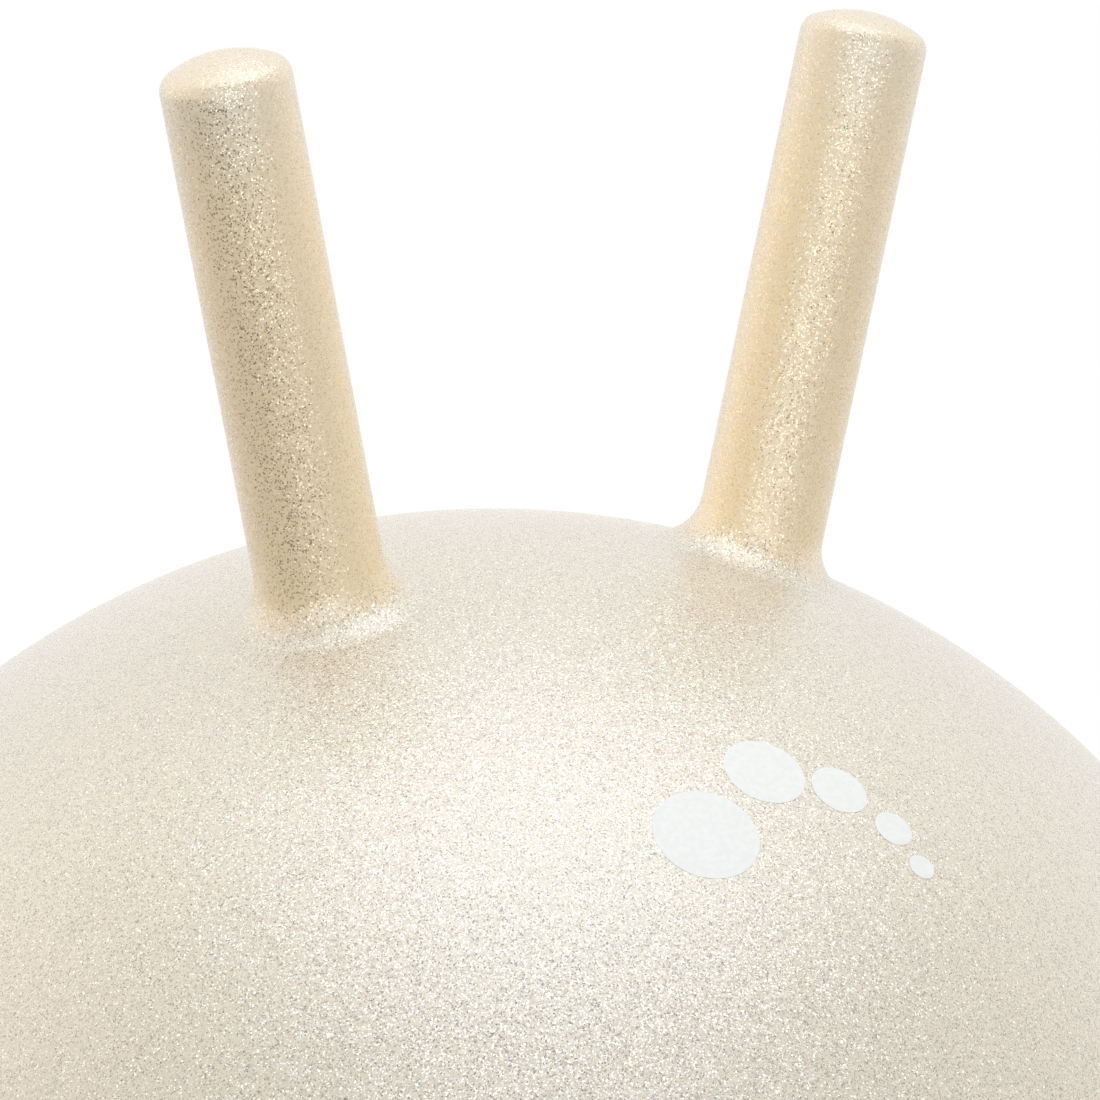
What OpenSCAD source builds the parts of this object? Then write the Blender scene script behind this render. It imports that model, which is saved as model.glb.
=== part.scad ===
// Hopper ball: an inflated skin of soft PVC with two hollow ears to hold on to,
// a moulded-in valve seat and the push-in plug that keeps the air in.
// Millimetres. The origin is the middle of the patch that rests on the floor,
// +Z is up, the front is at -Y and the ears stand side by side along X.

/* [Ball] */
// Outside diameter of the inflated ball
ball_d = 450; // [400:5:600]
// Wall of the moulded skin, the same in the ball and the ears
skin_wall = 1.2; // [0.8:0.1:2.2]
// Radius of the patch that the ball's weight flattens on the floor
floor_patch_r = 36; // [15:1:60]

/* [Ears] */
// Distance between the ears where their axes leave the ball
ear_spacing = 126.2; // [100:0.2:170]
// How far in front of the ball's middle the ears are rooted
ear_forward = 26.5; // [0:0.2:45]
// Outward tilt of an ear from upright, in degrees
ear_splay = 12.3; // [4:0.1:22]
// Forward tilt of an ear from upright, in degrees
ear_lean = 2; // [-6:0.5:10]
// Outside diameter of an ear
ear_d = 33.2; // [26:0.2:42]
// Length of an ear along its axis, from the ball to the tip
ear_len = 144.5; // [100:1:200]
// Radius of the shallow dome that closes the tip
tip_dome_r = 30; // [24:1:70]
// Rounding between the side of an ear and its dome
tip_edge_r = 5; // [2.4:0.2:7]
// Fillet between an ear and the ball
root_fillet = 12; // [6:0.5:18]
// Strip of ball skin outside the fillet that belongs to an ear's root
root_land = 3; // [2:0.5:8]
// Straight neck above the fillet that belongs to an ear's root
root_neck = 2; // [1:0.5:10]
// Seam between a root and the skin around it
root_seam = 0.05; // [0.02:0.01:0.2]

/* [Valve seat] */
// Angle of the valve below the ball's middle, at the back, in degrees
valve_drop = 38; // [20:1:55]
// Bore that the plug's shank seals in
valve_bore_d = 8; // [6:0.5:12]
// Wall of the stem round the bore
stem_wall = 2.6; // [1.5:0.1:4]
// Length of the stem below the floor of the recess
stem_len = 16; // [10:1:26]
// Thickness of the floor of the recess that the plug's head lies in
recess_floor = 1.8; // [1:0.1:3]
// Width of the rim round the recess
rim_w = 3.2; // [2.6:0.1:6]
// How far the rim lies below the ball's surface
rim_sink = 0.3; // [0.2:0.05:1]
// Width of the flange that is bonded to the inside of the skin
flange_w = 7; // [3:0.5:14]
// Thickness of that flange
flange_t = 2; // [1:0.1:4]
// Film of bond between the seat and the skin
bond_gap = 0.1; // [0.05:0.05:0.3]
// Radius of the bay in the rim where a fingernail lifts the plug
nail_bay_r = 2; // [1:0.1:2.4]

/* [Valve plug] */
// Diameter of the plug's head
head_d = 16; // [13:0.5:24]
// Thickness of the head at its edge
head_t = 1.8; // [1.2:0.1:3]
// Height of the crown on the head
head_crown = 0.5; // [0.2:0.1:1]
// Length of the shank under the head
shank_len = 15; // [9:0.5:24]
// Diameter of the shank between its sealing ribs
shank_d = 6.2; // [4:0.1:7]
// Diameter of the shank's tip
shank_tip_d = 4.6; // [3:0.1:6]
// Number of sealing ribs
rib_count = 3; // [2:1:4]
// Length of one rib along the shank
rib_len = 2.4; // [1.2:0.1:3]
// Length of the rib's straight land, above its ramp
rib_land = 1; // [0.4:0.1:1.1]
// Clearance of the ribs in the bore, on the radius
rib_clear = 0.05; // [0.02:0.01:0.1]
// Clearance round the head in its recess
head_clear = 0.3; // [0.1:0.05:0.6]
// Gap between the head and the floor of the recess
head_seat_gap = 0.05; // [0.02:0.01:0.2]

/* [Hidden] */

$fn = 96;
root_sides = 48;
foot_steps = 2;
arc_steps = 7;
tip_edge_steps = 5;
tip_dome_steps = 6;
crown_steps = 5;
flange_steps = 5;

skin_colour = [0.90, 0.84, 0.70];
ear_colour = [0.87, 0.78, 0.62];
plug_colour = [0.95, 0.94, 0.90];

ball_r = ball_d / 2;
ball_h = sqrt(pow(ball_r, 2) - pow(floor_patch_r, 2));
ear_r = ear_d / 2;

// Where the right ear's axis leaves the ball, from the ball's centre
ear_x = ear_spacing / 2;
ear_exit = [ear_x, -ear_forward, sqrt(pow(ball_r, 2) - pow(ear_x, 2) - pow(ear_forward, 2))];

// The right ear's own axes: across, back and along the ear
ear_across = [cos(ear_splay), 0, -sin(ear_splay)];
ear_back = [sin(ear_lean) * sin(ear_splay), cos(ear_lean), sin(ear_lean) * cos(ear_splay)];
ear_along = [cos(ear_lean) * sin(ear_splay), -sin(ear_lean), cos(ear_lean) * cos(ear_splay)];

// The ball's centre in those axes, from the point where the ear leaves the ball
hub = [-ear_exit * ear_across, -ear_exit * ear_back, -ear_exit * ear_along];

// Radius, about the ear's axis, of the piece of ball skin that the root takes up
root_r = ear_r + root_fillet + root_land;

// Height of the plane where a root ends and its ear goes on
root_top = max([for (i = [0 : root_sides - 1]) fillet_centre(i * 360 / root_sides).z]) + root_neck;

valve_bore_r = valve_bore_d / 2;
recess_r = head_d / 2 + head_clear;
recess_z = -(rim_sink + head_t);
neck_r = recess_r + rim_w;
stem_r = valve_bore_r + stem_wall;
rib_r = valve_bore_r - rib_clear;
head_z = recess_z + head_seat_gap;
rib_pitch = (shank_len - rib_len) / rib_count;

function mix(a, b, t) = a + (b - a) * t;

function unit(v) = v / norm(v);

function reversed(list) = [for (i = [len(list) - 1 : -1 : 0]) list[i]];

// Point at height over q, in an ear's axes, on a sphere of radius r about the ball's centre
function on_ball(q, r) =
    [q.x, q.y, hub.z + sqrt(pow(r, 2) - pow(q.x - hub.x, 2) - pow(q.y - hub.y, 2))];

// Centre of the ball that rolls in the corner between the ear and the skin, at angle a
function fillet_centre(a) =
    on_ball((ear_r + root_fillet) * [cos(a), sin(a)], ball_r + root_fillet);

// Point on an arc about c that turns from the direction u to the direction v
function arc_point(c, r, u, v, t) =
    let (turn = acos(u * v))
    c + r * (sin(turn * (1 - t)) * u + sin(turn * t) * v) / sin(turn);

// Line up the root at angle a, from its foot in the skin to its neck, lying inset in the wall
function root_line(a, inset) =
    let (
        out = [cos(a), sin(a)],
        centre = fillet_centre(a),
        reach = root_fillet + inset,
        to_ball = unit(hub - centre),
        to_ear = [-out.x, -out.y, 0],
        start = centre + reach * to_ball,
        foot = (root_r - root_seam) * out
    )
    concat(
        [for (i = [0 : foot_steps - 1])
            on_ball(mix(foot, [start.x, start.y], i / foot_steps), ball_r - inset)],
        [for (i = [0 : arc_steps]) arc_point(centre, reach, to_ball, to_ear, i / arc_steps)],
        [[(ear_r - inset) * out.x, (ear_r - inset) * out.y, root_top]]
    );

// Half section of an ear from the root's plane to the tip, lying inset in the wall
function ear_line(inset) =
    let (
        dome_z = ear_len - tip_dome_r,
        edge_x = ear_r - tip_edge_r,
        edge_z = dome_z + sqrt(pow(tip_dome_r - tip_edge_r, 2) - pow(edge_x, 2)),
        join_a = atan2(edge_x, edge_z - dome_z),
        edge_r = tip_edge_r - inset,
        dome_r = tip_dome_r - inset
    )
    concat(
        [[ear_r - inset, root_top]],
        [for (i = [0 : tip_edge_steps])
            let (a = mix(0, 90 - join_a, i / tip_edge_steps))
            [edge_x + edge_r * cos(a), edge_z + edge_r * sin(a)]],
        [for (i = [1 : tip_dome_steps])
            let (a = mix(join_a, 0, i / tip_dome_steps))
            [dome_r * sin(a), dome_z + dome_r * cos(a)]]
    );

// Half section of the seat's flange, whose top follows the inside of the skin
function flange_line() =
    let (
        top_r = ball_r - skin_wall - bond_gap,
        flange_r = neck_r + flange_w,
        top = [for (i = [0 : flange_steps])
            let (r = mix(flange_r, 0, i / flange_steps))
            [r, sqrt(pow(top_r, 2) - pow(r, 2)) - ball_r]],
        under_z = top[0].y - flange_t
    )
    concat([[0, under_z], [flange_r, under_z]], top);

// Half section of the plug's shank, from its tip to the underside of the head
function shank_line() =
    concat(
        [[0, -shank_len], [shank_tip_d / 2, -shank_len]],
        [for (i = [0 : rib_count - 1])
            let (z = -shank_len + rib_len / 2 + i * rib_pitch)
            each [
                [shank_d / 2, z],
                [rib_r, z + rib_len - rib_land],
                [rib_r, z + rib_len],
                [shank_d / 2, z + rib_len]
            ]],
        [[shank_d / 2, 0], [0, 0]]
    );

// Half section of the plug's crowned head, from its underside up
function head_line() =
    let (
        r = head_d / 2,
        dome_r = (pow(r, 2) + pow(head_crown, 2)) / (2 * head_crown),
        half_a = asin(r / dome_r)
    )
    concat(
        [[0, 0], [r, 0]],
        [for (i = [0 : crown_steps])
            let (a = mix(half_a, 0, i / crown_steps))
            [dome_r * sin(a), head_t + head_crown - dome_r * (1 - cos(a))]]
    );

// Places its children in the ball's own axes, with the ball's centre at the origin
module at_ball() {
    translate([0, 0, ball_h]) children();
}

// Places its children along the right ear, with Z up the ear from the ball's surface
module at_right_ear() {
    at_ball() translate(ear_exit) rotate([ear_lean, ear_splay, 0]) children();
}

// Places its children at the valve, with Z out of the ball and 0 at its surface
module at_valve() {
    at_ball() rotate([-90 - valve_drop, 0, 0]) translate([0, 0, ball_r]) children();
}

module on_left() {
    mirror([1, 0, 0]) children();
}

// The ball's outside, or its inside, flattened where it stands on the floor
module flattened_ball(inset) {
    intersection() {
        at_ball() sphere(r = ball_r - inset);
        translate([-ball_d, -ball_d, inset]) cube(2 * ball_d);
    }
}

// The hole that a root fills in the skin
module root_hole() {
    at_right_ear() translate([0, 0, -ball_r / 2]) cylinder(r = root_r, h = ball_r);
}

module ball_skin() {
    color(skin_colour)
    difference() {
        flattened_ball(0);
        flattened_ball(skin_wall);
        root_hole();
        on_left() root_hole();
        at_valve() translate([0, 0, -ball_r / 2]) cylinder(r = neck_r + bond_gap, h = ball_r);
    }
}

// Flared root of the right ear: the ball's skin turns up into the ear on a rolling fillet,
// which is not round about the ear because the ear stands askew on the ball
module ear_root() {
    rings = [for (i = [0 : root_sides - 1])
        let (a = i * 360 / root_sides)
        concat(root_line(a, 0), reversed(root_line(a, skin_wall)))];
    around = len(rings[0]);
    points = [for (ring = rings) each ring];
    faces = [for (i = [0 : root_sides - 1], j = [0 : around - 1])
        let (
            here = i * around,
            next = (i + 1) % root_sides * around,
            k = (j + 1) % around
        )
        each [[here + j, here + k, next + k], [here + j, next + k, next + j]]];
    color(ear_colour) at_right_ear() polyhedron(points, faces);
}

module right_ear_root() {
    ear_root();
}

module left_ear_root() {
    on_left() ear_root();
}

// Hollow ear, open into the root below and closed by a dome
module ear() {
    color(ear_colour) at_right_ear()
        rotate_extrude() polygon(concat(ear_line(0), reversed(ear_line(skin_wall))));
}

module right_ear() {
    ear();
}

module left_ear() {
    on_left() ear();
}

// Bush that is bonded into the skin: a recessed rim, a flange inside and a bored stem
module valve_seat() {
    stem_z = recess_z - recess_floor;
    color(skin_colour) at_valve()
    difference() {
        union() {
            rotate_extrude() polygon(flange_line());
            translate([0, 0, stem_z]) cylinder(r = neck_r, h = -rim_sink - stem_z);
            translate([0, 0, stem_z - stem_len]) cylinder(r = stem_r, h = stem_len + recess_floor);
        }
        translate([0, 0, recess_z]) cylinder(r = recess_r, h = head_d);
        translate([recess_r, 0, recess_z]) cylinder(r = nail_bay_r, h = head_d);
        translate([0, 0, stem_z - 2 * stem_len]) cylinder(r = valve_bore_r, h = 4 * stem_len);
    }
}

// Push-in plug: a crowned head on a shank with sealing ribs
module valve_plug() {
    color(plug_colour) at_valve() translate([0, 0, head_z])
    union() {
        rotate_extrude() polygon(head_line());
        rotate_extrude() polygon(shank_line());
    }
}

ball_skin();
left_ear_root();
right_ear_root();
left_ear();
right_ear();
valve_seat();
valve_plug();
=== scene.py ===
"""Hopper ball: the glittery skin with its two ears, the valve and the print on the front."""
import math
import bmesh
import bpy
from mathutils import Matrix, Vector


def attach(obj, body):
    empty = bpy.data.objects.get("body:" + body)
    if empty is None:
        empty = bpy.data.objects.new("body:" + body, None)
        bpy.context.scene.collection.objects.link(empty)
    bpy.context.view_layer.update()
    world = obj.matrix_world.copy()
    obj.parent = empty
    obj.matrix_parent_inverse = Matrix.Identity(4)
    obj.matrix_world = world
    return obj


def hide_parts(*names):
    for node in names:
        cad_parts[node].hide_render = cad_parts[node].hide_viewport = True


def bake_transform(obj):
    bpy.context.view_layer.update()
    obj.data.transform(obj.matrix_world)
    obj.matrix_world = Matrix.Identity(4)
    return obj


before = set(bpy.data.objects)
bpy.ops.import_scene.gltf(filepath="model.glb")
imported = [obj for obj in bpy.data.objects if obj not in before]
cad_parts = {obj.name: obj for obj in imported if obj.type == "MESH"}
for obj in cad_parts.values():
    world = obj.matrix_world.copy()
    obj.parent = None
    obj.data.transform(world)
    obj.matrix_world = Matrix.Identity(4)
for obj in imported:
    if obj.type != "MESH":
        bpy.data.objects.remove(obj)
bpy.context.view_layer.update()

MM = 0.001

# Sizes of the moulding, the same as in the solids
BALL_R = 225 * MM
WALL = 1.2 * MM
PATCH_R = 36 * MM
EAR_X = 63.1 * MM
EAR_FORWARD = 26.5 * MM
EAR_SPLAY = math.radians(12.3)
EAR_LEAN = math.radians(2)
EAR_R = 16.6 * MM
EAR_LEN = 144.5 * MM
TIP_DOME_R = 30 * MM
TIP_EDGE_R = 5 * MM
ROOT_FILLET = 12 * MM
ROOT_LAND = 3 * MM
VALVE_DROP = math.radians(38)
VALVE_HOLE_R = 11.6 * MM

# Steps of the meshes
BALL_GRID = 56
EAR_SIDES = 96
FOOT_STEPS = 3
FILLET_STEPS = 12
TUBE_STEPS = 34
EDGE_STEPS = 6
DOME_STEPS = 10
VALVE_SIDES = 64
# Band of skin round a hole that is stitched to the hole's own ring, and how much further off
# the skin's cut edge may lie
STITCH = 2.5 * MM
STITCH_REACH = 14 * MM
# Below this height the ball's skin turns into the flat patch
PATCH_TURN = 6 * MM

BALL_H = math.sqrt(BALL_R ** 2 - PATCH_R ** 2)
BALL_CENTRE = Vector((0, 0, BALL_H))
# From the left ear's side to the right ear's, as seen from the front
ACROSS = Vector((1, 0, 0))
EAR_EXIT = Vector((EAR_X, -EAR_FORWARD, math.sqrt(BALL_R ** 2 - EAR_X ** 2 - EAR_FORWARD ** 2)))
EAR_ACROSS = Vector((math.cos(EAR_SPLAY), 0, -math.sin(EAR_SPLAY)))
EAR_BACK = Vector((
    math.sin(EAR_LEAN) * math.sin(EAR_SPLAY),
    math.cos(EAR_LEAN),
    math.sin(EAR_LEAN) * math.cos(EAR_SPLAY),
))
EAR_ALONG = Vector((
    math.cos(EAR_LEAN) * math.sin(EAR_SPLAY),
    -math.sin(EAR_LEAN),
    math.cos(EAR_LEAN) * math.cos(EAR_SPLAY),
))
# The ball's centre in the right ear's own axes, from the point where the ear leaves the ball
HUB = Vector((-EAR_EXIT.dot(EAR_ACROSS), -EAR_EXIT.dot(EAR_BACK), -EAR_EXIT.dot(EAR_ALONG)))
ROOT_R = EAR_R + ROOT_FILLET + ROOT_LAND
VALVE_OUT = Vector((0, math.cos(VALVE_DROP), -math.sin(VALVE_DROP)))

# Print on the front: its angle above the ball's middle, and half the thickness of the ink
PRINT_UP = math.radians(52.6)
PRINT_LIFT = 0.04 * MM
# Its plain dots: distance right, distance up and radius of each
PRINT_DOTS = [
    (-21 * MM, -7 * MM, 13.5 * MM),
    (3 * MM, 9 * MM, 10.5 * MM),
    (21 * MM, 1 * MM, 7.5 * MM),
    (31 * MM, -12 * MM, 5.2 * MM),
    (34 * MM, -24 * MM, 3.6 * MM),
]
DOT_SIDES = 72
DOT_RINGS = 6


def mix(a, b, t):
    return a + (b - a) * t


def ring_angles(count):
    return [2 * math.pi * i / count for i in range(count)]


def on_ball(x, y, r):
    """Point over (x, y) of the right ear's axes on a sphere of radius r about the ball's centre."""
    return Vector((x, y, HUB.z + math.sqrt(r * r - (x - HUB.x) ** 2 - (y - HUB.y) ** 2)))


def arc_point(centre, r, u, v, t):
    """Point at share t of the arc about centre that runs from direction u to direction v."""
    turn = math.acos(max(-1, min(1, u.dot(v))))
    return centre + r * (math.sin(turn * (1 - t)) * u + math.sin(turn * t) * v) / math.sin(turn)


def ear_line(angle, inset):
    """Line up the right ear at one angle, from its foot in the ball's skin to just under the apex.

    It is in the ear's own axes; inset is the depth under the outer surface.
    """
    c, s = math.cos(angle), math.sin(angle)
    ring = EAR_R + ROOT_FILLET
    centre = on_ball(ring * c, ring * s, BALL_R + ROOT_FILLET)
    reach = ROOT_FILLET + inset
    to_ball = (HUB - centre).normalized()
    to_ear = Vector((-c, -s, 0))
    start = centre + reach * to_ball
    line = []
    for i in range(FOOT_STEPS):
        t = i / FOOT_STEPS
        x = mix(ROOT_R * c, start.x, t)
        y = mix(ROOT_R * s, start.y, t)
        line.append(on_ball(x, y, BALL_R - inset))
    for i in range(FILLET_STEPS + 1):
        line.append(arc_point(centre, reach, to_ball, to_ear, i / FILLET_STEPS))
    dome_z = EAR_LEN - TIP_DOME_R
    edge_x = EAR_R - TIP_EDGE_R
    edge_z = dome_z + math.sqrt((TIP_DOME_R - TIP_EDGE_R) ** 2 - edge_x ** 2)
    join = math.atan2(edge_x, edge_z - dome_z)
    for i in range(1, TUBE_STEPS):
        z = mix(centre.z, edge_z, i / TUBE_STEPS)
        line.append(Vector(((EAR_R - inset) * c, (EAR_R - inset) * s, z)))
    for i in range(EDGE_STEPS + 1):
        a = mix(0, math.pi / 2 - join, i / EDGE_STEPS)
        r = edge_x + (TIP_EDGE_R - inset) * math.cos(a)
        line.append(Vector((r * c, r * s, edge_z + (TIP_EDGE_R - inset) * math.sin(a))))
    for i in range(1, DOME_STEPS):
        a = mix(join, 0, i / DOME_STEPS)
        r = (TIP_DOME_R - inset) * math.sin(a)
        line.append(Vector((r * c, r * s, dome_z + (TIP_DOME_R - inset) * math.cos(a))))
    return line


def ear_place(side):
    """From the right ear's own axes to the frame; side -1 mirrors it to the left ear."""
    turn = Matrix((EAR_ACROSS, EAR_BACK, EAR_ALONG)).transposed().to_4x4()
    place = Matrix.Translation(BALL_CENTRE + EAR_EXIT) @ turn
    return Matrix.Diagonal((side, 1, 1, 1)) @ place


def new_object(name, bm):
    mesh = bpy.data.meshes.new(name)
    bm.to_mesh(mesh)
    bm.free()
    mesh.polygons.foreach_set("use_smooth", [True] * len(mesh.polygons))
    obj = bpy.data.objects.new(name, mesh)
    bpy.context.scene.collection.objects.link(obj)
    return obj


def grid_faces(bm, rows):
    """Quads between closed rings of vertices that all have the same count."""
    for lower, upper in zip(rows, rows[1:]):
        count = len(lower)
        for i in range(count):
            k = (i + 1) % count
            bm.faces.new((lower[i], lower[k], upper[k], upper[i]))


def set_normals(obj, normal_at):
    """Gives the vertices the surface's own normals where normal_at knows them."""
    mesh = obj.data
    normals = []
    for v in mesh.vertices:
        known = normal_at(v.index, v.co)
        normals.append(known if known is not None else v.normal.copy())
    mesh.normals_split_custom_set_from_vertices(normals)


def make_ear(name, side):
    """Hollow ear with its flared root, closed at the tip and open into the ball."""
    place = ear_place(side)
    bm = bmesh.new()
    shells = []
    for inset in (0, WALL):
        lines = [ear_line(a, inset) for a in ring_angles(EAR_SIDES)]
        rows = [[bm.verts.new(place @ line[j]) for line in lines] for j in range(len(lines[0]))]
        apex = bm.verts.new(place @ Vector((0, 0, EAR_LEN - inset)))
        grid_faces(bm, rows)
        for i in range(EAR_SIDES):
            bm.faces.new((rows[-1][i], rows[-1][(i + 1) % EAR_SIDES], apex))
        shells.append(rows)
    grid_faces(bm, [shells[0][0], shells[1][0]])
    bmesh.ops.recalc_face_normals(bm, faces=bm.faces[:])
    obj = new_object(name, bm)
    inner = len(obj.data.vertices) // 2

    def normal_at(index, co):
        """The foot lies in the ball's surface; the inner shell's vertices follow the outer one's."""
        if index % inner >= EAR_SIDES * (FOOT_STEPS + 1):
            return None
        out = (co - BALL_CENTRE).normalized()
        return out if index < inner else -out

    set_normals(obj, normal_at)
    return obj


def stitch_hole(bm, inside, points):
    """Cuts out the vertices that lie inside a hole and joins the cut edge to the hole's own ring."""
    bmesh.ops.delete(bm, geom=[v for v in bm.verts if inside(v.co)], context="VERTS")
    middle = sum(points, Vector()) / len(points)
    reach = max((p - middle).length for p in points) + STITCH + STITCH_REACH

    def near(edge):
        return all((v.co - middle).length < reach for v in edge.verts)

    border = [e for e in bm.edges if e.is_boundary and near(e)]
    verts = [bm.verts.new(p) for p in points]
    ring = [bm.edges.new(pair) for pair in zip(verts, verts[1:] + verts[:1])]
    bmesh.ops.bridge_loops(bm, edges=border + ring)


def cut_root_hole(bm, side):
    """Opens the ball's skin where an ear's root fills it."""
    place = ear_place(side)
    to_ear = place.inverted()
    rim = [on_ball(ROOT_R * math.cos(a), ROOT_R * math.sin(a), BALL_R) for a in ring_angles(EAR_SIDES)]

    def in_root(co):
        """Within the hole, on the half of the ball that the ear stands on."""
        p = to_ear @ co
        return p.z > -BALL_R / 2 and math.hypot(p.x, p.y) < ROOT_R + STITCH

    stitch_hole(bm, in_root, [place @ p for p in rim])


def cut_valve_hole(bm):
    """Opens the ball's skin where the valve's seat fills it."""
    over = VALVE_OUT.cross(ACROSS)
    middle = BALL_CENTRE + math.sqrt(BALL_R ** 2 - VALVE_HOLE_R ** 2) * VALVE_OUT
    rim = []
    for a in ring_angles(VALVE_SIDES):
        rim.append(middle + VALVE_HOLE_R * (math.cos(a) * ACROSS + math.sin(a) * over))

    def in_valve(co):
        p = co - BALL_CENTRE
        along = p.dot(VALVE_OUT)
        return along > 0 and (p - along * VALVE_OUT).length < VALVE_HOLE_R + STITCH

    stitch_hole(bm, in_valve, rim)


def put_in_order(bm):
    """Sorts edges and faces by place, because the rims of a thickened skin come in no fixed order."""

    def spot(item):
        return tuple(sum((v.co for v in item.verts), Vector()))

    for items in (bm.edges, bm.faces):
        for i, item in enumerate(sorted(items, key=spot)):
            item.index = i
        items.sort()


def make_ball(name):
    """Ball skin with its flat patch on the floor and holes for the ears' roots and the valve."""
    bm = bmesh.new()
    bmesh.ops.create_cube(bm, size=2)
    bmesh.ops.subdivide_edges(bm, edges=bm.edges[:], cuts=BALL_GRID - 1, use_grid_fill=True)
    for v in bm.verts:
        even = Vector([math.tan(c * math.pi / 4) for c in v.co])
        v.co = BALL_CENTRE + even.normalized() * BALL_R
    for side in (1, -1):
        cut_root_hole(bm, side)
    cut_valve_hole(bm)
    for v in bm.verts:
        v.co.z = max(v.co.z, 0)
    bmesh.ops.recalc_face_normals(bm, faces=bm.faces[:])
    bmesh.ops.solidify(bm, geom=bm.faces[:], thickness=WALL)
    bmesh.ops.recalc_face_normals(bm, faces=bm.faces[:])
    put_in_order(bm)
    obj = new_object(name, bm)

    def normal_at(index, co):
        if co.z < PATCH_TURN:
            return None
        out = co - BALL_CENTRE
        return out.normalized() if out.length > BALL_R - WALL / 2 else -out.normalized()

    set_normals(obj, normal_at)
    return obj


def make_print(name):
    """Thin round dots of ink that follow the ball's surface."""
    bm = bmesh.new()
    out = Vector((0, -math.cos(PRINT_UP), math.sin(PRINT_UP)))
    up = Vector((0, math.sin(PRINT_UP), math.cos(PRINT_UP)))

    def on_skin(x, y, lift):
        return BALL_CENTRE + (out * BALL_R + ACROSS * x + up * y).normalized() * (BALL_R + lift)

    def dot_ring(x, y, r, lift):
        points = [(x + r * math.cos(a), y + r * math.sin(a)) for a in ring_angles(DOT_SIDES)]
        return [bm.verts.new(on_skin(px, py, lift)) for px, py in points]

    for x, y, r in PRINT_DOTS:
        rims = []
        for lift in (PRINT_LIFT, -PRINT_LIFT):
            middle = bm.verts.new(on_skin(x, y, lift))
            rows = [dot_ring(x, y, r * j / DOT_RINGS, lift) for j in range(1, DOT_RINGS + 1)]
            for i in range(DOT_SIDES):
                bm.faces.new((middle, rows[0][i], rows[0][(i + 1) % DOT_SIDES]))
            grid_faces(bm, rows)
            rims.append(rows[-1])
        grid_faces(bm, rims)
    bmesh.ops.recalc_face_normals(bm, faces=bm.faces[:])
    obj = new_object(name, bm)

    def normal_at(index, co):
        away = co - BALL_CENTRE
        return away.normalized() if away.length > BALL_R else -away.normalized()

    set_normals(obj, normal_at)
    return obj


def enabled_input(node, name):
    return next(s for s in node.inputs if s.name == name and s.enabled)


class Nodes:
    """Short way to make and join the nodes of one material or world."""

    def __init__(self, tree):
        self.tree = tree
        tree.nodes.clear()

    def add(self, kind, settings=None, **values):
        """Adds a node; values go to the inputs of those names, with _ for a space."""
        node = self.tree.nodes.new(kind)
        for key, value in (settings or {}).items():
            setattr(node, key, value)
        for key, value in values.items():
            self.put(enabled_input(node, key.replace("_", " ")), value)
        return node

    def put(self, socket, value):
        if isinstance(value, bpy.types.NodeSocket):
            self.tree.links.new(value, socket)
        else:
            socket.default_value = value

    def math(self, operation, a, b):
        node = self.add("ShaderNodeMath", {"operation": operation})
        self.put(node.inputs[0], a)
        self.put(node.inputs[1], b)
        return node.outputs[0]

    def vector(self, operation, a, b=None):
        node = self.add("ShaderNodeVectorMath", {"operation": operation})
        self.put(node.inputs[0], a)
        if b is not None:
            self.put(node.inputs[1], b)
        return node.outputs["Value" if operation in ("LENGTH", "DOT_PRODUCT") else "Vector"]

    def mix(self, kind, factor, a, b):
        """Mixes two values of one kind: FLOAT, VECTOR or RGBA, each with sockets of its own."""
        first = {"FLOAT": 2, "VECTOR": 4, "RGBA": 6}[kind]
        node = self.add("ShaderNodeMix", {"data_type": kind, "clamp_factor": True})
        self.put(node.inputs[0], factor)
        self.put(node.inputs[first], a)
        self.put(node.inputs[first + 1], b)
        return node.outputs[first // 2 - 1]

    def shader_mix(self, factor, a, b):
        node = self.add("ShaderNodeMixShader")
        for socket, value in zip(node.inputs, (factor, a, b)):
            self.put(socket, value)
        return node.outputs[0]

    def range(self, value, low, high, to_low=0.0, to_high=1.0, smooth=False):
        """Takes the span from low to high to the span from to_low to to_high, with no overshoot."""
        kind = "SMOOTHSTEP" if smooth else "LINEAR"
        node = self.add("ShaderNodeMapRange", {"interpolation_type": kind})
        names = ("Value", "From Min", "From Max", "To Min", "To Max")
        for name, item in zip(names, (value, low, high, to_low, to_high)):
            self.put(node.inputs[name], item)
        return node.outputs[0]


def new_material(name):
    material = bpy.data.materials.new(name)
    material.use_nodes = True
    return material, Nodes(material.node_tree)


def set_material(obj, material):
    obj.data.materials.clear()
    obj.data.materials.append(material)


# Most of a noise pattern's values lie between these
NOISE_LOW = 0.3
NOISE_HIGH = 0.7

# Glitter in the skin: each cell of a pattern of this pitch is one flake or one spot of bare PVC
FLAKE_PITCH = 0.36 * MM
# Share of the cells that are flakes
BALL_SHARE = 0.45
EAR_SHARE = 0.24
# How far at most a flake leans along each axis, and how far the clear surface over a cell does
BALL_TILT = 0.38
EAR_TILT = 0.22
BALL_GLINT = 0.15
EAR_GLINT = 0.24
# Colour of the brightest flakes, and how bright the dullest are beside them
BALL_FLAKE = (0.96, 0.87, 0.75, 1)
EAR_FLAKE = (1.0, 0.77, 0.44, 1)
BALL_DULL = 0.52
EAR_DULL = 0.85
FLAKE_METAL = 0.9
FLAKE_ROUGH = 0.26
# Distances from the ball's centre between which the ball's glitter turns to the ears'
BALL_GLITTER_TO = BALL_R + 2 * MM
EAR_GLITTER_FROM = BALL_R + 11 * MM

# PVC colours with painted light: the ball's skin pale as if lit from above by the overhead lamp, the
# upright ears warmer and darker as if in less light; where one turns to the other
BALL_PVC_LIT_PALE = (0.80, 0.70, 0.54, 1)
EAR_PVC_SHADED_WARM = (0.94, 0.725, 0.44, 1)
PVC_ROUGH = 0.45
LIT_PALE_TO = BALL_R + 0.2 * MM
SHADED_WARM_FROM = BALL_R + 5 * MM
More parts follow.
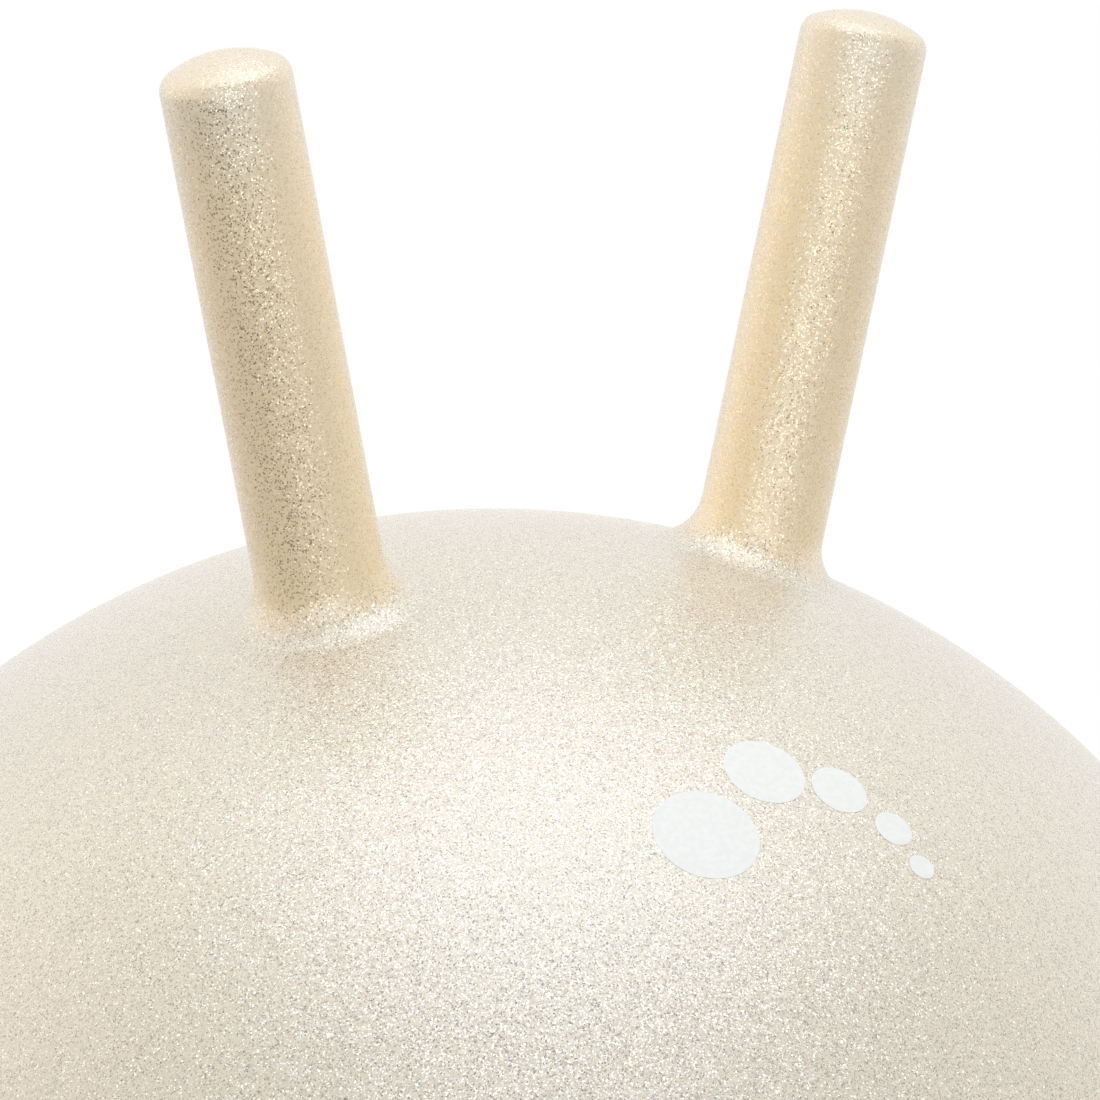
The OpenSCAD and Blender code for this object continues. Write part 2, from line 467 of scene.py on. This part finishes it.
# Painted light: towards its tip an ear turns part of the way back to the ball's colours, as if its
# upward dome were lit by the overhead lamp
TIP_WARM_TO = BALL_R + 95 * MM
TIP_PALE_FROM = BALL_R + 143 * MM
TIP_PAINTED_LIGHT = 0.5
# Faint clouds in the PVC: how many to the metre, and how much they lighten and darken it
CLOUD_SCALE = 14.0
CLOUD_SHADE = 0.03
# Size and height of the fine pebbles on the ball's surface, and the share of that height that the
# ears lack
PEBBLE_PITCH = 1.0 * MM
PEBBLE_HEIGHT = 0.22 * MM
PEBBLE_LOSS = 0.7


def glitter_skin():
    """Soft champagne PVC with small tilted metal flakes under a clear, slightly pebbled surface; the
    PVC's colours carry painted light.
    """
    material, n = new_material("glitter_pvc")
    place = n.add("ShaderNodeTexCoord").outputs["Object"]
    normal = n.add("ShaderNodeNewGeometry").outputs["Normal"]

    # Where on the ball and its ears a point lies, by its distance from the ball's centre
    out = n.vector("LENGTH", n.vector("SUBTRACT", place, tuple(BALL_CENTRE)))
    up_ear = n.range(out, BALL_GLITTER_TO, EAR_GLITTER_FROM, smooth=True)
    # on_ear turns the painted light from the ball's lit paleness to the ears' shaded warmth, and thins
    # the pebbles on the ears
    on_ear = n.range(out, LIT_PALE_TO, SHADED_WARM_FROM, smooth=True)
    # Painted light: the share by which each ear's upper part turns paler, as if lit from above
    tip = n.range(out, TIP_WARM_TO, TIP_PALE_FROM, 0, TIP_PAINTED_LIGHT, smooth=True)

    # Cells, which of them are flakes, and how each one leans
    solid = {"voronoi_dimensions": "3D"}
    cells = n.add("ShaderNodeTexVoronoi", solid, Vector=place, Scale=1 / FLAKE_PITCH)
    own = n.add("ShaderNodeTexWhiteNoise", {"noise_dimensions": "3D"}, Vector=cells.outputs["Position"])
    draws = n.add("ShaderNodeSeparateColor", Color=own.outputs["Color"]).outputs
    shows = n.math("LESS_THAN", draws[0], n.mix("FLOAT", up_ear, BALL_SHARE, EAR_SHARE))
    lean = n.vector("SUBTRACT", cells.outputs["Color"], (0.5, 0.5, 0.5))
    tilt = n.vector("MULTIPLY", lean, n.mix("FLOAT", up_ear, 2 * BALL_TILT, 2 * EAR_TILT))
    glint = n.vector("MULTIPLY", lean, n.mix("FLOAT", up_ear, 2 * BALL_GLINT, 2 * EAR_GLINT))
    tilted = n.vector("NORMALIZE", n.vector("ADD", normal, tilt))

    # Colours of the PVC, with painted light (pale ball, warmer darker ears, paler tips), and of the
    # flakes
    cloud = n.add("ShaderNodeTexNoise", Vector=place, Scale=CLOUD_SCALE, Detail=3.0, Roughness=0.5)
    shade = n.range(cloud.outputs[0], NOISE_LOW, NOISE_HIGH, 1 - CLOUD_SHADE, 1 + CLOUD_SHADE)
    pvc_with_painted_light = n.mix("RGBA", n.math("SUBTRACT", on_ear, tip), BALL_PVC_LIT_PALE, EAR_PVC_SHADED_WARM)
    pvc_with_painted_light = n.vector("MULTIPLY", pvc_with_painted_light, shade)
    # The tips' painted light also turns the flakes back towards the ball's
    flake = n.mix("RGBA", n.math("SUBTRACT", up_ear, tip), BALL_FLAKE, EAR_FLAKE)
    dull = n.mix("FLOAT", up_ear, BALL_DULL, EAR_DULL)
    flake = n.vector("MULTIPLY", flake, n.range(draws[1], 0, 1, dull, 1.0))

    # Clear surface
    pebble = n.add("ShaderNodeTexNoise", Vector=place, Scale=1 / PEBBLE_PITCH, Detail=2.0)
    kept = n.math("SUBTRACT", 1.0, n.math("MULTIPLY", on_ear, PEBBLE_LOSS))
    height = n.math("MULTIPLY", pebble.outputs[0], kept)
    bump = n.add("ShaderNodeBump", Strength=1.0, Distance=PEBBLE_HEIGHT, Height=height)
    gloss = n.vector("NORMALIZE", n.vector("ADD", bump.outputs[0], glint))

    shader = n.add(
        "ShaderNodeBsdfPrincipled",
        Base_Color=n.mix("RGBA", shows, pvc_with_painted_light, flake),
        Metallic=n.math("MULTIPLY", shows, FLAKE_METAL),
        Roughness=n.mix("FLOAT", shows, PVC_ROUGH, FLAKE_ROUGH),
        Normal=n.mix("VECTOR", shows, normal, tilted),
        Coat_Weight=1.0,
        Coat_Roughness=0.22,
        Coat_IOR=2.3,
        Coat_Normal=gloss,
        Sheen_Weight=0.35,
        Sheen_Roughness=0.45,
        Sheen_Tint=(1.0, 0.93, 0.84, 1),
    )
    n.add("ShaderNodeOutputMaterial", Surface=shader.outputs[0])
    return material


INK_COLOUR = (0.93, 0.915, 0.88, 1)
INK_ROUGH = 0.6
PLUG_COLOUR = (0.85, 0.84, 0.80, 1)
PLUG_ROUGH = 0.45
# Fine grain of the ink and the plug: how many grains to the metre, how dark the dark ones are beside
# the light ones and between which values one turns to the other, their depth, and how much rougher
# or smoother they are
GRAIN_SCALE = 700.0
GRAIN_DARK = 0.96
GRAIN_LIGHT_TO = 0.4
GRAIN_DARK_FROM = 0.6
GRAIN_DEPTH = 0.1 * MM
GRAIN_STRENGTH = 0.2
GRAIN_ROUGH = 0.05


def grained_material(name, colour, roughness):
    material, n = new_material(name)
    place = n.add("ShaderNodeTexCoord").outputs["Object"]
    grain = n.add("ShaderNodeTexNoise", Vector=place, Scale=GRAIN_SCALE, Detail=4.0).outputs[0]
    darker = tuple(c * GRAIN_DARK for c in colour[:3]) + (1,)
    bump = n.add("ShaderNodeBump", Strength=GRAIN_STRENGTH, Distance=GRAIN_DEPTH, Height=grain)
    smooth, rough = roughness - GRAIN_ROUGH, roughness + GRAIN_ROUGH
    shader = n.add(
        "ShaderNodeBsdfPrincipled",
        Base_Color=n.mix("RGBA", n.range(grain, GRAIN_LIGHT_TO, GRAIN_DARK_FROM), colour, darker),
        Roughness=n.range(grain, NOISE_LOW, NOISE_HIGH, smooth, rough),
        Normal=bump.outputs[0],
    )
    n.add("ShaderNodeOutputMaterial", Surface=shader.outputs[0])
    return material


# The photograph's camera: where it stands from the ball's centre, its aim from the line to that centre,
# and its focal length in the picture's pixels
CAMERA_AZIMUTH = math.radians(29.378)
CAMERA_ELEVATION = math.radians(17.595)
CAMERA_DISTANCE = 1800 * MM
CAMERA_AIM_RIGHT = math.radians(0.494)
CAMERA_AIM_UP = math.radians(6.827)
PICTURE_SIDE = 1100
FOCAL_PIXELS = 6751
SENSOR_MM = 36
CAMERA_SEES_TO = 50


def make_camera():
    a, e = CAMERA_AZIMUTH, CAMERA_ELEVATION
    stand = Vector((-math.sin(a) * math.cos(e), -math.cos(a) * math.cos(e), math.sin(e)))
    a, e = CAMERA_AZIMUTH + CAMERA_AIM_RIGHT, CAMERA_AIM_UP - CAMERA_ELEVATION
    look = Vector((math.sin(a) * math.cos(e), math.cos(a) * math.cos(e), math.sin(e)))
    data = bpy.data.cameras.new("camera")
    data.sensor_width = SENSOR_MM
    data.lens = FOCAL_PIXELS * SENSOR_MM / PICTURE_SIDE
    data.clip_end = CAMERA_SEES_TO
    camera = bpy.data.objects.new("camera", data)
    camera.location = BALL_CENTRE + stand * CAMERA_DISTANCE
    camera.rotation_euler = look.to_track_quat("-Z", "Y").to_euler()
    bpy.context.scene.collection.objects.link(camera)
    bpy.context.scene.camera = camera


# Directions of the studio: away from the photograph's camera, and to its right and left
BACK = (math.sin(CAMERA_AZIMUTH), math.cos(CAMERA_AZIMUTH), 0)
RIGHT = (math.cos(CAMERA_AZIMUTH), -math.sin(CAMERA_AZIMUTH), 0)
LEFT = tuple(-c for c in RIGHT)

# Soft lamps: place to the right, to the back and up, the point aimed at, size, power and colour
OVERHEAD_PLACE = (0.15, -0.25, 2.2)
OVERHEAD_AIM = (0, 0, 0.3)
OVERHEAD_SIZE = 2.2
OVERHEAD_WATTS = 17.3
OVERHEAD_TINT = (0.86, 0.93, 1)
FRONT_PLACE = (0.2, -2.4, 0.86)
FRONT_AIM = (0, 0, 0.5)
FRONT_SIZE = (3.2, 1.6)
FRONT_WATTS = 21.93
FRONT_TINT = (0.8, 0.9, 1)

# Light of the room: the same from everywhere, and more from some sides. Each side has its direction,
# the cosines at which its light begins and is full, its strength and its colour
ROOM_ALL = 0.24
ROOM_SIDES = (
    (BACK, -0.3, 0.7, 0.51, (1, 1, 1)),
    (RIGHT, 0.1, 0.9, 0.43, (1, 0.96, 0.86)),
    (LEFT, 0.1, 0.9, 0.66, (1, 0.92, 0.8)),
)
# Reflections show the white backdrop behind the ball: the cosines at which that begins and is full
ROOM_SHOWN_FROM = 0.3
ROOM_SHOWN_ALL = 0.8

# The floor is paper near the ball and turns to plain white between these distances from its middle
FLOOR_R = 6.0
FLOOR_SIDES = 96
PAPER_TO = 0.35
WHITE_FROM = 0.75
PAPER_COLOUR = (0.84, 0.84, 0.84, 1)
# Light that the white part gives: bright but for a dim place in front of the ball, to its left, that
# ends between these distances from its own middle
FLOOR_BRIGHT = 0.63
FLOOR_DIM = 0.12
DIM_PLACE = (-0.35, -0.8, 0)
DIM_TO = 0.5
BRIGHT_FROM = 1.3
# Reflections show the white part behind the ball: how far back that begins and is full
FLOOR_SHOWN_FROM = 0.4
FLOOR_SHOWN_ALL = 1.2


def studio_place(right, back, up):
    return Vector(RIGHT) * right + Vector(BACK) * back + Vector((0, 0, up))


def make_lamp(name, place, aim, size, power, colour):
    """Soft lamp: size is a disc's width, or a rectangle's width and height."""
    data = bpy.data.lights.new(name, "AREA")
    if isinstance(size, tuple):
        data.shape = "RECTANGLE"
        data.size, data.size_y = size
    else:
        data.shape = "DISK"
        data.size = size
    data.energy = power
    data.color = colour
    lamp = bpy.data.objects.new(name, data)
    lamp.location = studio_place(*place)
    lamp.rotation_euler = (Vector(aim) - studio_place(*place)).to_track_quat("-Z", "Y").to_euler()
    lamp.visible_camera = False
    bpy.context.scene.collection.objects.link(lamp)


def sees_backdrop(n, place, shown_from, shown_all):
    """1 for rays that show the white backdrop: straight ones, and mirrored ones behind the ball."""
    path = n.add("ShaderNodeLightPath").outputs
    behind = n.range(n.vector("DOT_PRODUCT", place, BACK), shown_from, shown_all, smooth=True)
    straight = n.math("MAXIMUM", path["Is Camera Ray"], path["Is Transmission Ray"])
    return n.math("MAXIMUM", straight, n.math("MULTIPLY", path["Is Glossy Ray"], behind))


def make_floor():
    """Round pale floor that keeps the shadow near the ball and turns to plain white further out."""
    bm = bmesh.new()
    bmesh.ops.create_circle(bm, cap_ends=True, segments=FLOOR_SIDES, radius=FLOOR_R)
    floor = new_object("floor", bm)
    material, n = new_material("pale_floor")
    place = n.add("ShaderNodeTexCoord").outputs["Object"]
    far = n.range(n.vector("LENGTH", place), PAPER_TO, WHITE_FROM, smooth=True)
    from_dim = n.vector("LENGTH", n.vector("SUBTRACT", place, tuple(studio_place(*DIM_PLACE))))
    level = n.range(from_dim, DIM_TO, BRIGHT_FROM, FLOOR_DIM, FLOOR_BRIGHT, smooth=True)
    seen = sees_backdrop(n, place, FLOOR_SHOWN_FROM, FLOOR_SHOWN_ALL)
    paper = n.add("ShaderNodeBsdfDiffuse", Color=PAPER_COLOUR)
    white = n.add("ShaderNodeEmission", Color=(1, 1, 1, 1), Strength=n.mix("FLOAT", seen, level, 1.0))
    n.add("ShaderNodeOutputMaterial", Surface=n.shader_mix(far, paper.outputs[0], white.outputs[0]))
    set_material(floor, material)


def make_world():
    """White backdrop; as light, bright behind the ball and at its sides and dim in front of it."""
    world = bpy.data.worlds.new("studio")
    bpy.context.scene.world = world
    world.use_nodes = True
    n = Nodes(world.node_tree)
    toward = n.add("ShaderNodeTexCoord").outputs["Generated"]
    level = (ROOM_ALL,) * 3
    for side, low, high, strength, tint in ROOM_SIDES:
        part = n.range(n.vector("DOT_PRODUCT", toward, side), low, high, 0, strength, smooth=True)
        level = n.vector("ADD", level, n.vector("MULTIPLY", tint, part))
    seen = sees_backdrop(n, toward, ROOM_SHOWN_FROM, ROOM_SHOWN_ALL)
    room = n.add("ShaderNodeBackground", Color=level, Strength=1.0)
    white = n.add("ShaderNodeBackground", Color=(1, 1, 1, 1), Strength=1.0)
    n.add("ShaderNodeOutputWorld", Surface=n.shader_mix(seen, room.outputs[0], white.outputs[0]))


make_camera()
make_floor()
make_world()
make_lamp("overhead", OVERHEAD_PLACE, OVERHEAD_AIM, OVERHEAD_SIZE, OVERHEAD_WATTS, OVERHEAD_TINT)
make_lamp("front_fill", FRONT_PLACE, FRONT_AIM, FRONT_SIZE, FRONT_WATTS, FRONT_TINT)
bpy.context.scene.view_settings.view_transform = "Standard"
# Keeps the flakes crisp where the picture is smoothed
bpy.context.scene.cycles.denoising_prefilter = "NONE"

skin = glitter_skin()

ball = make_ball("ball_skin_visual")
set_material(ball, skin)
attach(ball, "ball")
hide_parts("ball_skin")

for word, side in (("left", -1), ("right", 1)):
    ear = make_ear(f"{word}_ear_visual", side)
    set_material(ear, skin)
    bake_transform(ear)
    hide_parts(f"{word}_ear", f"{word}_ear_root")

printed = make_print("front_print")
set_material(printed, grained_material("white_ink", INK_COLOUR, INK_ROUGH))
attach(printed, "ball")

set_material(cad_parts["valve_seat"], skin)
set_material(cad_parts["valve_plug"], grained_material("plug_plastic", PLUG_COLOUR, PLUG_ROUGH))

bpy.context.view_layer.update()
